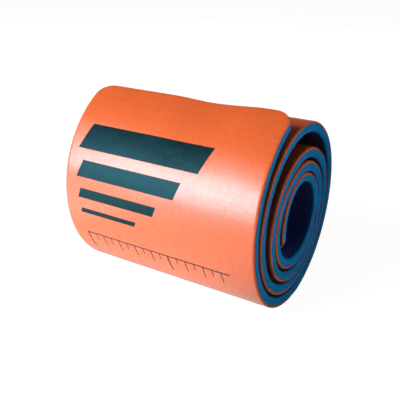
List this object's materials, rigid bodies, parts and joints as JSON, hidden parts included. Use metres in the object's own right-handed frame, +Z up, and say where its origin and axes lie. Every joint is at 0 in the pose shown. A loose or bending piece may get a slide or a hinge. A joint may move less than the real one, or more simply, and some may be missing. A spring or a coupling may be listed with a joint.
{
  "type": "rolled foam splint",
  "caption": "Padded bendable splint strip rolled into a loose spiral, lying on its side: soft aluminium sheet sealed between orange outer foam and blue inner foam.",
  "frame": {"origin": "middle of the flat that the roll rests on, under the centre of its outline", "axes": "+X along the roll's axis towards the end turned to the camera, -Y its front with the free end's flap, +Z up"},
  "size_m": [0.108, 0.0946, 0.1028],
  "materials": {
    "outer_foam": "closed-cell foam skin, satin, with a plain dark print",
    "aluminium_core": "plain rolled soft sheet",
    "inner_foam": "closed-cell foam, matte, fine cells at the cut edges"
  },
  "bodies": {
    "root": {"outer_foam": "outer_foam", "aluminium_core": "aluminium_core", "inner_foam": "inner_foam"}
  },
  "joints": []
}
